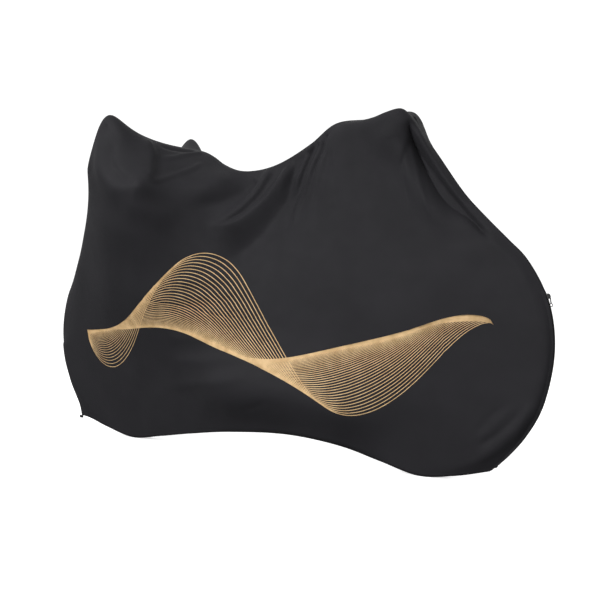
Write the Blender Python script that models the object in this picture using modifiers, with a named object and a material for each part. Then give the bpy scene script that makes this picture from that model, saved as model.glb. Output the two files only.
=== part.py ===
"""Fitted stretch cover with a zip in its rear seam, as it hangs when pulled over what it covers.

Two side panels of knit meet in a centre seam that runs up the front, over the top and down the
rear. The cloth is worked out as a taut sheet: it is fixed along the seam and the hem, it bears on
a few rails, and between them every point settles midway between its neighbours. Creases are then
raised or sunk along short lines. The sheet is solved on a fine grid, and the panels take fewer
stations from it.

Metres, +Z up. +X runs to the rear, the mid-plane is y = 0, and the hem's lowest point is z = 0.
"""

import math

import bpy
import numpy as np

# ---- Driving dimensions ---------------------------------------------------------------------

CLOTH = 0.002          # thickness of a panel
SEAM_GAP = 0.0003      # between pieces that meet
RIM_RADIUS = 0.338     # the cloth's roundness over each wheel: radius of its outer line
RIM_HALF = 0.017       # and half its width there
AXLE_Z = 0.342         # height of the wheels' centres
FRONT_AXLE_X = -0.505
REAR_AXLE_X = 0.495

ZIP_TOP = 0.464        # where the seam closes above the zip, as a fraction up the rear seam
ZIP_FLARE = 0.020      # fraction over which it closes
SLIDER_AT = 0.4565     # the slider's middle; the teeth and tapes run up to its lower end
TEETH_START = 0.022
TAPE_START = 0.012
STOP_AT = 0.0185
CHAIN_HALF = 0.0028
CHAIN_THICK = 0.0022
TAPE_WIDTH = 0.0032
TAPE_THICK = 0.0010
ZIP_STEPS = 40
# Small pieces of the zip: outwards, across, along the seam.
SLIDER_SIZE = (0.0060, 0.0095, 0.0130)
LOOP_SIZE = (0.0036, 0.0030, 0.0080)
LOOP_SUNK = 0.0008     # how far the loop is let into the slider's body
STOP_SIZE = (0.0028, 0.0056, 0.0058)
STEM_SIZE = (0.0016, 0.0036, 0.0170)
RING_RADIUS = 0.0040   # to the middle of the ring's wire
RING_WIRE = 0.0009
TAIL_SIZE = (0.0160, 0.0018, 0.0090)   # the front seam's tail: along X, Y, Z

FINE_ALONG = 176       # cells of the grid that the sheet is solved on
FINE_UP = 128
COARSEST = 4           # the first, coarse solution has this many times fewer cells
PULL_ALONG = 1.0       # the cloth's pull along the row, and up the cover
PULL_UP = 2.5
SETTLE = (600, 40, 20)  # rounds of settling on each grid, coarse to fine
SOFTEN = 6             # last rounds, which round the cloth where it bears on a rail

# Cells of a panel: from, to (fractions of the cloth) and how many between them.
ALONG_SPANS = [(0.00, 0.32, 14), (0.32, 0.86, 18), (0.86, 1.00, 12)]
UP_SPANS = [
    (0.00, 0.10, 4), (0.10, 0.444, 8), (0.444, 0.484, 2), (0.484, 0.60, 3), (0.60, 1.00, 15),
]

# ---- Outline of the cloth -------------------------------------------------------------------

# The centre seam in side view: x, z.
FRONT_SEAM = [
    (-0.752, 0.050), (-0.761, 0.083), (-0.811, 0.178), (-0.839, 0.328), (-0.815, 0.452),
    (-0.767, 0.532), (-0.711, 0.625), (-0.647, 0.720), (-0.570, 0.820), (-0.505, 0.885),
    (-0.460, 0.912),
]
TOP_SEAM = [
    (-0.460, 0.912), (-0.415, 0.925), (-0.355, 0.924), (-0.288, 0.910), (-0.220, 0.895),
    (-0.182, 0.876), (-0.148, 0.853), (-0.089, 0.830), (-0.015, 0.828), (0.052, 0.842),
    (0.153, 0.887), (0.236, 0.937), (0.347, 0.939), (0.435, 0.946), (0.473, 0.932),
]
REAR_SEAM = [
    (0.681, 0.032), (0.726, 0.075), (0.770, 0.129), (0.810, 0.204), (0.837, 0.342),
    (0.821, 0.462), (0.769, 0.561), (0.724, 0.608), (0.672, 0.660), (0.613, 0.723),
    (0.545, 0.818), (0.493, 0.894), (0.473, 0.932),
]
# The lower edge of a panel: x, distance out from the mid-plane, z.
HEM = [
    (-0.752, 0.000, 0.050), (-0.705, 0.008, 0.046), (-0.625, 0.014, 0.026),
    (-0.505, 0.016, 0.0014), (-0.384, 0.022, 0.018), (-0.243, 0.035, 0.042),
    (-0.091, 0.050, 0.064), (0.120, 0.055, 0.077), (0.282, 0.040, 0.058),
    (0.382, 0.022, 0.028), (0.495, 0.016, 0.0004), (0.595, 0.010, 0.012),
    (0.681, 0.000, 0.032),
]

# ---- Where the cloth bears on something -----------------------------------------------------

# Rows: fraction along the cloth, fraction up it, then x, out, z in metres.
FRONT_RAIL = [
    (0.118, 0.740, -0.518, 0.206, 0.848), (0.105, 0.690, -0.550, 0.176, 0.800),
    (0.092, 0.642, -0.583, 0.149, 0.752), (0.079, 0.594, -0.620, 0.120, 0.704),
    (0.066, 0.546, -0.657, 0.092, 0.656), (0.053, 0.500, -0.697, 0.066, 0.606),
    (0.040, 0.454, -0.733, 0.043, 0.556),
]
GRIP_RAIL = [
    (0.118, 0.740, -0.518, 0.206, 0.848), (0.130, 0.780, -0.491, 0.208, 0.905),
    (0.145, 0.825, -0.447, 0.210, 1.006), (0.162, 0.838, -0.421, 0.210, 1.027),
    (0.180, 0.842, -0.391, 0.210, 0.998), (0.200, 0.845, -0.363, 0.206, 0.943),
    (0.225, 0.855, -0.347, 0.180, 0.920),
]
BROW_RAIL = [
    (0.170, 0.875, -0.383, 0.160, 0.956), (0.170, 0.914, -0.357, 0.107, 0.932),
    (0.172, 0.955, -0.340, 0.055, 0.920),
]
DROP_RAIL = [
    (0.160, 0.780, -0.450, 0.226, 0.895), (0.172, 0.740, -0.443, 0.238, 0.838),
    (0.205, 0.712, -0.390, 0.244, 0.786), (0.245, 0.708, -0.330, 0.247, 0.778),
    (0.285, 0.720, -0.267, 0.250, 0.790),
]
SEAT_RAIL = [
    (0.735, 0.985, 0.227, 0.014, 0.924), (0.800, 0.970, 0.295, 0.030, 0.930),
    (0.880, 0.955, 0.365, 0.050, 0.930), (0.945, 0.935, 0.430, 0.080, 0.950),
    (0.975, 0.955, 0.463, 0.056, 0.945),
]
RIGHT_GRIP_SHIFT = (-0.022, -0.020)   # the right grip lies farther forward and lower: x, z
RIGHT_SEAT_SHIFT = (-0.006, 0.016)    # and the right side of the seat higher

# Softer ones only shape the coarse solution, so that the cloth swells gently over them.
SOFT_RAILS = {}
SOFT_RAILS[-1] = [
    [(0.400, 0.300, -0.165, 0.090, 0.275), (0.460, 0.300, -0.085, 0.104, 0.275),
     (0.570, 0.300, 0.105, 0.088, 0.270)],
    [(0.200, 0.360, -0.505, 0.056, 0.342)],
    [(0.800, 0.360, 0.495, 0.062, 0.342)],
]
SOFT_RAILS[1] = [
    [(0.550, 0.300, 0.075, 0.092, 0.270), (0.655, 0.300, 0.255, 0.108, 0.272)],
    [(0.200, 0.360, -0.505, 0.056, 0.342)],
    [(0.800, 0.360, 0.495, 0.070, 0.342)],
]

# ---- Creases --------------------------------------------------------------------------------

# Rows: how far it stands out (negative for a trough), its half width, then its line as points
# on the cloth (fraction along, fraction up).
FOLDS = {}
FOLDS[-1] = [
    # the deep groove behind the seat, and the rolls on both sides of it
    (-0.017, 0.016, [(0.950, 0.905), (0.944, 0.830), (0.950, 0.760), (0.970, 0.630)]),
    (0.018, 0.030, [(0.922, 0.890), (0.908, 0.800), (0.914, 0.700), (0.938, 0.560)]),
    (0.009, 0.014, [(0.968, 0.880), (0.966, 0.800), (0.978, 0.710)]),
    # swags between the grips and the seat
    (0.012, 0.028, [(0.285, 0.745), (0.330, 0.785), (0.370, 0.850), (0.425, 0.940)]),
    (-0.011, 0.024, [(0.310, 0.720), (0.365, 0.760), (0.415, 0.820), (0.490, 0.925)]),
    (0.010, 0.019, [(0.380, 0.700), (0.420, 0.752), (0.458, 0.819), (0.518, 0.960)]),
    (-0.011, 0.021, [(0.400, 0.655), (0.452, 0.715), (0.500, 0.800), (0.583, 0.940)]),
    # the valley from the seat's nose, and a narrow fold beside it
    (-0.008, 0.030, [(0.475, 0.620), (0.530, 0.735), (0.590, 0.810), (0.645, 0.930)]),
    (0.005, 0.016, [(0.600, 0.845), (0.635, 0.925), (0.670, 0.975)]),
    # a roll that follows the rear rim
    (0.004, 0.014, [(0.960, 0.060), (0.965, 0.110), (0.972, 0.170), (0.976, 0.240)]),
]
FOLDS[1] = [
    (-0.016, 0.018, [(0.945, 0.900), (0.936, 0.820), (0.944, 0.740), (0.960, 0.650)]),
    (0.014, 0.030, [(0.915, 0.880), (0.902, 0.780), (0.908, 0.660)]),
    (0.008, 0.015, [(0.966, 0.870), (0.962, 0.790), (0.972, 0.690)]),
    (0.012, 0.030, [(0.288, 0.740), (0.335, 0.775), (0.385, 0.845), (0.440, 0.930)]),
    (-0.011, 0.026, [(0.315, 0.705), (0.375, 0.740), (0.435, 0.810), (0.510, 0.915)]),
    (0.009, 0.021, [(0.375, 0.665), (0.435, 0.720), (0.480, 0.795), (0.550, 0.940)]),
    (-0.008, 0.028, [(0.450, 0.600), (0.520, 0.700), (0.590, 0.790), (0.655, 0.925)]),
    (0.005, 0.016, [(0.600, 0.835), (0.635, 0.915), (0.665, 0.970)]),
]
FOLD_ENDS = 0.22       # fraction of a crease's line over which it fades in and out
FOLD_MARGIN = 4        # fine cells beside the seam over which creases fade out


# ---- Curves and grids -----------------------------------------------------------------------


def smooth_line(rows, count):
    """Points evenly spaced along a smooth curve through the rows, which may have any columns."""
    rows = np.array(rows, float)
    if len(rows) == 1:
        return np.repeat(rows, count + 1, axis=0)
    steps = np.linalg.norm(np.diff(rows, axis=0), axis=1) ** 0.5
    knots = np.concatenate([[0.0], np.cumsum(steps)])
    slopes = np.diff(rows, axis=0) / steps[:, None]
    tangents = np.empty_like(rows)
    tangents[0] = slopes[0]
    tangents[-1] = slopes[-1]
    weights = steps[1:, None] * slopes[:-1] + steps[:-1, None] * slopes[1:]
    tangents[1:-1] = weights / (steps[1:] + steps[:-1])[:, None]
    at = np.linspace(0.0, knots[-1], 40 * len(rows))
    k = np.clip(np.searchsorted(knots, at, side="right") - 1, 0, len(steps) - 1)
    s = ((at - knots[k]) / steps[k])[:, None]
    h = steps[k][:, None]
    dense = (2 * s**3 - 3 * s**2 + 1) * rows[k] + (3 * s**2 - 2 * s**3) * rows[k + 1]
    dense = dense + (s**3 - 2 * s**2 + s) * h * tangents[k] + (s**3 - s**2) * h * tangents[k + 1]
    run = np.linalg.norm(np.diff(dense, axis=0), axis=1)
    length = np.concatenate([[0.0], np.cumsum(run)])
    wanted = np.linspace(0.0, length[-1], count + 1)
    return np.stack([np.interp(wanted, length, column) for column in dense.T], axis=-1)


def seam_line(rows, count):
    """A stretch of the centre seam as points in the mid-plane."""
    flat = smooth_line(rows, count)
    return np.stack([flat[:, 0], np.zeros(count + 1), flat[:, 1]], axis=-1)


def edges(cells_along, cells_up):
    """The four edges of a panel: hem, top seam, front seam, rear seam."""
    return (
        smooth_line(HEM, cells_along),
        seam_line(TOP_SEAM, cells_along),
        seam_line(FRONT_SEAM, cells_up),
        seam_line(REAR_SEAM, cells_up),
    )


def put_edges(grid):
    """Set the grid's outer points on the panel's edges."""
    hem, top, front, rear = edges(grid.shape[0] - 1, grid.shape[1] - 1)
    grid[:, 0] = hem
    grid[:, -1] = top
    grid[0] = front
    grid[-1] = rear
    return grid


def blended_grid(cells_along, cells_up):
    """A first guess that blends the four edges."""
    hem, top, front, rear = edges(cells_along, cells_up)
    a = np.linspace(0.0, 1.0, cells_along + 1)[:, None, None]
    b = np.linspace(0.0, 1.0, cells_up + 1)[None, :, None]
    across = (1 - b) * hem[:, None] + b * top[:, None]
    upward = (1 - a) * front[None] + a * rear[None]
    corners = (1 - a) * (1 - b) * hem[0] + a * (1 - b) * hem[-1]
    corners = corners + (1 - a) * b * top[0] + a * b * top[-1]
    return across + upward - corners


def double_rows(grid):
    """Twice as many cells along the first axis, by a smooth curve through the rows."""
    first = 2 * grid[:1] - grid[1:2]
    last = 2 * grid[-1:] - grid[-2:-1]
    around = np.concatenate([first, grid, last])
    middles = (9 * (around[1:-2] + around[2:-1]) - around[:-3] - around[3:]) / 16
    out = np.empty((2 * len(grid) - 1,) + grid.shape[1:])
    out[0::2] = grid
    out[1::2] = middles
    return out


def double_grid(grid):
    """The same sheet with twice as many cells each way."""
    wide = double_rows(grid)
    tall = double_rows(wide.transpose(1, 0, 2))
    return put_edges(tall.transpose(1, 0, 2).copy())


def sample(grid, along, up):
    """Points of the grid at fractions along and up it."""
    a = np.asarray(along) * (grid.shape[0] - 1)
    b = np.asarray(up) * (grid.shape[1] - 1)
    i = np.clip(a.astype(int), 0, grid.shape[0] - 2)
    j = np.clip(b.astype(int), 0, grid.shape[1] - 2)
    s = (a - i)[..., None]
    t = (b - j)[..., None]
    low = (1 - s) * grid[i, j] + s * grid[i + 1, j]
    high = (1 - s) * grid[i, j + 1] + s * grid[i + 1, j + 1]
    return (1 - t) * low + t * high


def stations(spans):
    """Fractions at which a panel has a row of points."""
    parts = [np.linspace(start, end, cells, endpoint=False) for start, end, cells in spans]
    return np.concatenate(parts + [[spans[-1][1]]])


def outward(grid):
    """Unit normals that point away from the mid-plane's side of the sheet."""
    along = np.gradient(grid, axis=0)
    up = np.gradient(grid, axis=1)
    normal = np.cross(up, along)
    return normal / np.maximum(np.linalg.norm(normal, axis=-1, keepdims=True), 1e-12)


# ---- The taut sheet -------------------------------------------------------------------------


def held_points(rails, shape):
    """Which grid points a set of rails holds, and where."""
    held = {}
    for rail in rails:
        for along, up, x, out, z in smooth_line(rail, 60):
            a = along * (shape[0] - 1)
            b = up * (shape[1] - 1)
            key = (round(a), round(b))
            miss = math.hypot(a - key[0], b - key[1])
            if key not in held or miss < held[key][0]:
                held[key] = (miss, (x, out, z))
    where = np.array(list(held))
    places = np.array([place for _, place in held.values()])
    return where[:, 0], where[:, 1], places


def keep_round(points):
    """Push points out of the round rim at each wheel."""
    for centre in (FRONT_AXLE_X, REAR_AXLE_X):
        dx = points[..., 0] - centre
        dz = points[..., 2] - AXLE_Z
        radius = np.maximum(np.hypot(dx, dz), 1e-9)
        core = np.minimum(radius, RIM_RADIUS - RIM_HALF)
        distance = np.maximum(np.hypot(radius - core, points[..., 1]), 1e-9)
        grow = np.maximum(RIM_HALF / distance, 1.0)
        stretched = (core + (radius - core) * grow) / radius
        points[..., 0] = centre + dx * stretched
        points[..., 2] = AXLE_Z + dz * stretched
        points[..., 1] = points[..., 1] * grow


def settle(grid, rounds, rails):
    """Let every inner point settle between its neighbours, some of them held by rails."""
    total = 2 * (PULL_ALONG + PULL_UP)
    if rails:
        columns, rows, places = held_points(rails, grid.shape)
    for _ in range(rounds):
        sideways = grid[:-2, 1:-1] + grid[2:, 1:-1]
        upright = grid[1:-1, :-2] + grid[1:-1, 2:]
        grid[1:-1, 1:-1] = (PULL_ALONG * sideways + PULL_UP * upright) / total
        if rails:
            grid[columns, rows] = places
        keep_round(grid[1:-1, 1:-1])
    return grid


def moved(rail, shift, share=1.0):
    """A rail moved by a share of a shift along X and Z."""
    dx, dz = shift
    return [(along, up, x + share * dx, out, z + share * dz) for along, up, x, out, z in rail]


def hard_rails(side):
    """The firm rails of one side: -1 for the left, 1 for the right."""
    if side < 0:
        return [FRONT_RAIL, GRIP_RAIL, BROW_RAIL, DROP_RAIL, SEAT_RAIL]
    grip = moved(GRIP_RAIL, RIGHT_GRIP_SHIFT)
    brow = moved(BROW_RAIL, RIGHT_GRIP_SHIFT, 0.5)
    return [FRONT_RAIL, grip, brow, DROP_RAIL, moved(SEAT_RAIL, RIGHT_SEAT_SHIFT)]


def taut_sheet(side):
    """One side's cloth before its creases, y positive outwards."""
    firm = hard_rails(side)
    grid = blended_grid(FINE_ALONG // COARSEST, FINE_UP // COARSEST)
    grid = settle(grid, SETTLE[0], firm + SOFT_RAILS[side])
    for rounds in SETTLE[1:]:
        grid = settle(double_grid(grid), rounds, firm)
    return settle(grid, SOFTEN, None)


def line_distance(points, line):
    """Each point's distance to a line of short stretches, and how far along it that is, 0 to 1."""
    best = np.full(points.shape[:-1], np.inf)
    along = np.zeros(points.shape[:-1])
    steps = len(line) - 1
    for k in range(steps):
        run = line[k + 1] - line[k]
        part = ((points - line[k]) @ run) / max(run @ run, 1e-12)
        part = np.clip(part, 0.0, 1.0)
        distance = np.linalg.norm(points - (line[k] + part[..., None] * run), axis=-1)
        nearer = distance < best
        best[nearer] = distance[nearer]
        along[nearer] = (k + part[nearer]) / steps
    return best, along


def smooth_step(value):
    value = np.clip(value, 0.0, 1.0)
    return value * value * (3 - 2 * value)


def edge_fade(shape):
    """1 inside the sheet, falling to 0 at its edges."""
    i = np.arange(shape[0])
    j = np.arange(shape[1])
    from_ends = np.minimum(i, shape[0] - 1 - i)[:, None]
    from_rows = np.minimum(j, shape[1] - 1 - j)[None]
    return smooth_step(np.minimum(from_ends, from_rows) / FOLD_MARGIN)


def crease(grid, folds):
    """Raise and sink the creases, measured across the sheet's own surface."""
    height = np.zeros(grid.shape[:2])
    for stands, half_width, line in folds:
        path = smooth_line(line, 24)
        on_sheet = sample(grid, path[:, 0], path[:, 1])
        distance, along = line_distance(grid, on_sheet)
        ends = smooth_step(along / FOLD_ENDS) * smooth_step((1 - along) / FOLD_ENDS)
        height += stands * np.exp(-((distance / half_width) ** 2)) * ends
    height *= edge_fade(grid.shape)
    return grid + outward(grid) * height[..., None]


def zip_opening(up):
    """How far the rear seam stands open at a fraction up it, to take the zip."""
    closed = SEAM_GAP / 2
    opened = CHAIN_HALF + TAPE_WIDTH + 2 * SEAM_GAP
    share = smooth_step((ZIP_TOP + ZIP_FLARE - up) / ZIP_FLARE)
    return closed + (opened - closed) * share


def seat_seam(grid, up):
    """Set the seam's edge back so that the panels, grown outwards, stay apart."""
    lean = np.maximum(outward(grid)[..., 1], -1.0)
    inward = np.maximum(-lean, 0.0) * CLOTH + SEAM_GAP / 2
    grid[:, :, 1] = np.maximum(grid[:, :, 1], SEAM_GAP / 2)
    for edge in (np.s_[0, :], np.s_[:, -1], np.s_[-1, :]):
        grid[edge][:, 1] = inward[edge]
    grid[-1, :, 1] = np.maximum(grid[-1, :, 1], zip_opening(up))
    return grid


# ---- Materials ------------------------------------------------------------------------------


def material(name, colour, roughness, metallic):
    """A Principled material."""
    made = bpy.data.materials.new(name)
    made.use_nodes = True
    shader = made.node_tree.nodes["Principled BSDF"]
    shader.inputs["Base Color"].default_value = (*colour, 1.0)
    shader.inputs["Roughness"].default_value = roughness
    shader.inputs["Metallic"].default_value = metallic
    return made


# ---- Pieces ---------------------------------------------------------------------------------


def add_object(name, mesh, look, collection):
    made = bpy.data.objects.new(name, mesh)
    mesh.materials.append(look)
    collection.objects.link(made)
    return made


def sheet_mesh(name, points, flip):
    """An open mesh of quads over a grid of points."""
    across, tall = points.shape[0], points.shape[1]
    faces = []
    for i in range(across - 1):
        for j in range(tall - 1):
            corner = i * tall + j
            quad = (corner, corner + tall, corner + tall + 1, corner + 1)
            faces.append(quad[::-1] if flip else quad)
    mesh = bpy.data.meshes.new(name)
    mesh.from_pydata(points.reshape(-1, 3).tolist(), [], faces)
    mesh.shade_smooth()
    return mesh


def thicken(made, thickness):
    """Grow an open sheet along its normals."""
    solid = made.modifiers.new("thickness", "SOLIDIFY")
    solid.thickness = thickness
    solid.offset = 1.0
    solid.use_even_offset = False
    return made


def panel(name, side, look, collection):
    """One side panel: side is -1 for the left and 1 for the right."""
    fine = crease(taut_sheet(side), FOLDS[side])
    along, up = stations(ALONG_SPANS), stations(UP_SPANS)
    points = sample(fine, along[:, None] + 0 * up, up + 0 * along[:, None])
    points = seat_seam(points, up)
    points[..., 1] *= side
    made = add_object(name, sheet_mesh(name, points, side > 0), look, collection)
    return thicken(made, CLOTH)


def rear_line(start, end, count):
    """Points of the rear seam between two fractions up it, with the seam's outward direction."""
    line = seam_line(REAR_SEAM, 400)
    at = np.linspace(start, end, count + 1) * 400
    points = np.stack([np.interp(at, np.arange(401), line[:, c]) for c in range(3)], axis=-1)
    run = np.gradient(points, axis=0)
    out = np.stack([run[:, 2], np.zeros(count + 1), -run[:, 0]], axis=-1)
    return points, out / np.linalg.norm(out, axis=-1, keepdims=True)


def strip(name, start, end, inner, outer, thickness, look, collection):
    """A strip that follows the rear seam, from one distance off the mid-plane to another."""
    middle, _ = rear_line(start, end, ZIP_STEPS)
    near = middle + np.array([0.0, inner, 0.0])
    far = middle + np.array([0.0, outer, 0.0])
    points = np.stack([near, far], axis=1)
    made = add_object(name, sheet_mesh(name, points, outer > inner), look, collection)
    return thicken(made, thickness)


def build_zip(tape_look, teeth_look, collection):
    """The zip's two tapes and its chain of teeth, below the slider."""
    seam = seam_line(REAR_SEAM, 400)
    length = np.linalg.norm(np.diff(seam, axis=0), axis=1).sum()
    top = SLIDER_AT - (SLIDER_SIZE[2] / 2 + SEAM_GAP) / length
    near = CHAIN_HALF + SEAM_GAP
    far = CHAIN_HALF + TAPE_WIDTH
    strip("zip_tape_left", TAPE_START, top, -far, -near, TAPE_THICK, tape_look, collection)
    strip("zip_tape_right", TAPE_START, top, near, far, TAPE_THICK, tape_look, collection)
    half = CHAIN_HALF
    strip("zip_chain", TEETH_START, top, -half, half, CHAIN_THICK, teeth_look, collection)


def seam_frame(fraction, off):
    """A point at a distance off the rear seam, and the turn about Y that sets +Z along it."""
    points, out = rear_line(fraction - 0.005, fraction + 0.005, 2)
    return points[1] + out[1] * off, math.atan2(-out[1][2], out[1][0])


def rounded_box(name, size, round_off, look, collection):
    """A box about its own origin, with its edges rounded."""
    bpy.ops.mesh.primitive_cube_add(size=1.0)
    made = bpy.context.object
    made.name = name
    made.data.name = name
    for vertex in made.data.vertices:
        vertex.co = [c * s for c, s in zip(vertex.co, size)]
    edge = made.modifiers.new("rounding", "BEVEL")
    edge.width = round_off
    edge.segments = 2
    made.data.materials.append(look)
    for owner in list(made.users_collection):
        owner.objects.unlink(made)
    collection.objects.link(made)
    return made


def shift(made, x, z):
    """Move a piece's mesh from its own origin."""
    for vertex in made.data.vertices:
        vertex.co.x += x
        vertex.co.z += z


def place(made, spot, tilt):
    """Set a piece at a point, turned about Y."""
    made.location = spot
    made.rotation_euler = (0.0, tilt, 0.0)


def joined_shapes():
    """The collection for shapes that are joined to a piece."""
    found = bpy.data.collections.get("joined_shapes")
    if found is None:
        found = bpy.data.collections.new("joined_shapes")
        bpy.context.scene.collection.children.link(found)
    return found


def join_shape(made, shape):
    """Unite a shape with a piece."""
    shape.hide_render = True
    shape.display_type = "WIRE"
    union = made.modifiers.new(shape.name, "BOOLEAN")
    union.operation = "UNION"
    union.object = shape


def build_slider(look, collection):
    """The slider, closed at the top of the teeth, with the loop that carries the pull."""
    body = rounded_box("zip_slider", SLIDER_SIZE, 0.0012, look, collection)
    loop = rounded_box("slider_loop", LOOP_SIZE, 0.0008, look, joined_shapes())
    shift(loop, (SLIDER_SIZE[0] + LOOP_SIZE[0]) / 2 - LOOP_SUNK, 0.0)
    join_shape(body, loop)
    spot, tilt = seam_frame(SLIDER_AT, SLIDER_SIZE[0] / 2)
    place(body, spot, tilt)
    place(loop, spot, tilt)


def build_pull(look, collection):
    """The pull: a flat stem with a ring at its lower end, hanging close to the seam."""
    stem = rounded_box("zip_pull", STEM_SIZE, 0.0005, look, collection)
    bpy.ops.mesh.primitive_torus_add(
        major_radius=RING_RADIUS, minor_radius=RING_WIRE,
        major_segments=20, minor_segments=8, rotation=(math.pi / 2, 0.0, 0.0),
    )
    ring = bpy.context.object
    bpy.ops.object.transform_apply(rotation=True)
    ring.name = "pull_ring"
    for owner in list(ring.users_collection):
        owner.objects.unlink(ring)
    joined_shapes().objects.link(ring)
    shift(ring, 0.0, -STEM_SIZE[2] / 2 - RING_RADIUS)
    join_shape(stem, ring)
    top = SLIDER_SIZE[0] + LOOP_SIZE[0] / 2 - LOOP_SUNK
    below = (LOOP_SIZE[2] + STEM_SIZE[2]) / 2 + SEAM_GAP
    spot, tilt = seam_frame(SLIDER_AT, top)
    for made in (stem, ring):
        shift(made, 0.0, -below)
        place(made, spot, tilt)


def build_end_stop(look, collection):
    """The block that ends the teeth at the lower rear corner."""
    stop = rounded_box("zip_stop", STOP_SIZE, 0.0006, look, collection)
    spot, tilt = seam_frame(STOP_AT, STOP_SIZE[0] / 2)
    place(stop, spot, tilt)


def build_seam_tail(look, collection):
    """The tail of the front seam, a small flat tab below its lower end."""
    tail = rounded_box("seam_tail", TAIL_SIZE, 0.0004, look, collection)
    x, z = FRONT_SEAM[0]
    place(tail, (x - 0.0025, 0.0, z - 0.0008 - TAIL_SIZE[2] / 2), 0.0)


def main():
    for old in list(bpy.data.objects):
        bpy.data.objects.remove(old, do_unlink=True)
    collection = bpy.data.collections.new("bicycle_cover")
    bpy.context.scene.collection.children.link(collection)
    knit = material("black_knit", (0.030, 0.030, 0.035), 0.55, 0.0)
    tape = material("black_tape", (0.018, 0.018, 0.020), 0.80, 0.0)
    plastic = material("black_plastic", (0.012, 0.012, 0.014), 0.35, 0.0)
    panel("panel_left", -1, knit, collection)
    panel("panel_right", 1, knit, collection)
    build_zip(tape, plastic, collection)
    build_slider(plastic, collection)
    build_pull(plastic, collection)
    build_end_stop(plastic, collection)
    build_seam_tail(tape, collection)


if __name__ == "__main__":
    main()
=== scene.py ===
"""Looks of a fitted stretch cover: satin knit with its creases, a line ornament, seams and a zip.

The cloth's large form is worked out as in the solids: a taut sheet held along the seam and the hem
and bearing on a few rails. Here it is sampled more finely, its creases are deeper, and the finer ones
are added. Metres, +Z up, +X to the rear.
"""

import math

import bpy
import numpy as np
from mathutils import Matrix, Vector


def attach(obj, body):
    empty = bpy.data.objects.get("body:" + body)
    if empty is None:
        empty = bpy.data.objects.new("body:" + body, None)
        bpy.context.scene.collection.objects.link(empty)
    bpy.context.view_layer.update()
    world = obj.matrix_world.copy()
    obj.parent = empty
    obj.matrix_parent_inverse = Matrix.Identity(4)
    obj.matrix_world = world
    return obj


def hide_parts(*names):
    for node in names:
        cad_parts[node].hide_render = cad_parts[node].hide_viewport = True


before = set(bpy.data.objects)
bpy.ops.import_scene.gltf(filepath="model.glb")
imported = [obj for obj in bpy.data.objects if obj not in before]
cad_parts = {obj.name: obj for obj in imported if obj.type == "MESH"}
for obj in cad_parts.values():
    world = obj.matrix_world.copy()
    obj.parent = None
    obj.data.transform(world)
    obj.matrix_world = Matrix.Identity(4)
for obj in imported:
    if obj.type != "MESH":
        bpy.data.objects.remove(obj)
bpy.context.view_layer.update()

# ---- Driving dimensions ----

SIDES = {"left": -1, "right": 1}   # the sign of each side's Y
CLOTH = 0.0012         # thickness of the cloth
SEWN_GAP = 0.00006     # between the two panels where they are sewn together
SEAM_GAP = 0.0003      # clearance between the parts of the zip, and between it and the panels
RIM_RADIUS = 0.338     # the cloth's roundness over each wheel: radius of its outer line
RIM_HALF = 0.017       # and half its width there
AXLE_Z = 0.342         # height of the wheels' centres
FRONT_AXLE_X = -0.505
REAR_AXLE_X = 0.495

ZIP_TOP = 0.464        # where the seam closes above the zip, as a fraction up the rear seam
ZIP_FLARE = 0.013      # fraction over which it closes
SLIDER_AT = 0.4565     # where on it the slider's middle is, and where the teeth and tapes start
TEETH_START = 0.022
TAPE_START = 0.012
CHAIN_HALF = 0.0028    # half the width of the closed teeth
TAPE_WIDTH = 0.0032    # how much of each tape shows
TAPE_THICK = 0.0006
NEARBY = 0.005         # how far to each side the seam's direction at the slider is taken
SLIDER_HALF = 0.0065   # half its length
TOOTH_PITCH = 0.0026   # along one side; the other side's teeth lie between them
TOOTH_SIZE = (0.0021, 0.0037, 0.0011)   # off the seam, across it and along it
TOOTH_REACH = 0.00024  # how far a tooth ends past half the chain's width
TOOTH_BEVEL = 0.0003
PULL_HINGE = (0.0069, -0.0044)   # off the seam and along it from the slider's middle
PULL_LEAN = 0.21       # its turn toward the seam, in radians
PULL_STEM = (0.0024, 0.0038, 0.015)
PULL_TAPER = 0.75      # its width at the upper end, as a share
PULL_BEVEL = 0.0006
PULL_EDGE = 60         # edges sharper than this many degrees are bevelled
RING_RADIUS = 0.0036
RING_WIRE = 0.001
RING_CELLS = (28, 10)  # round the ring and round its wire
STITCH_PITCH = 0.0034
STITCH_SIZE = (0.0024, 0.0005, 0.00035)  # length, width, how far it stands out
STITCH_RAISED = 0.25   # shares of that last size: how far its middle lies off the cloth
STITCH_BEVEL = 0.35    # and the bevel of its edges

LINE_FINENESS = 40     # places worked out on a smooth line for each of its rows
RAIL_STEPS = 60        # places along a rail, a crease and the rear seam
CREASE_STEPS = 24
SEAM_STEPS = 400
FINE_ALONG = 176       # cells of the grid that the sheet is solved on
FINE_UP = 128
COARSEST = 4           # the first, coarse solution has this many times fewer cells
PULL_ALONG = 1.0       # the cloth's pull along the row, and up the cover
PULL_UP = 2.5
SETTLE = (600, 40, 20)  # rounds of settling on each grid, coarse to fine
SOFTEN = 6             # last rounds, which round the cloth where it bears on a rail
EASE = 3               # rounds that smooth the finer grid before it is creased
EASE_FRONT = 220       # and more of them where the front turns to the side
# Which part that is: before a fraction along, below one up and above another, with soft edges.
FRONT_ROUND = (0.22, 0.06, 0.74, 0.1, 0.25)

# Cells of a panel: from, to (fractions of the cloth) and how many between them.
ALONG_SPANS = [
    (0.00, 0.12, 30), (0.12, 0.30, 50), (0.30, 0.55, 50), (0.55, 0.72, 54), (0.72, 0.88, 26),
    (0.88, 1.00, 56),
]
UP_SPANS = [
    (0.00, 0.12, 18), (0.12, 0.444, 44), (0.444, 0.484, 16), (0.484, 0.60, 18), (0.60, 1.00, 88),
]

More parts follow.
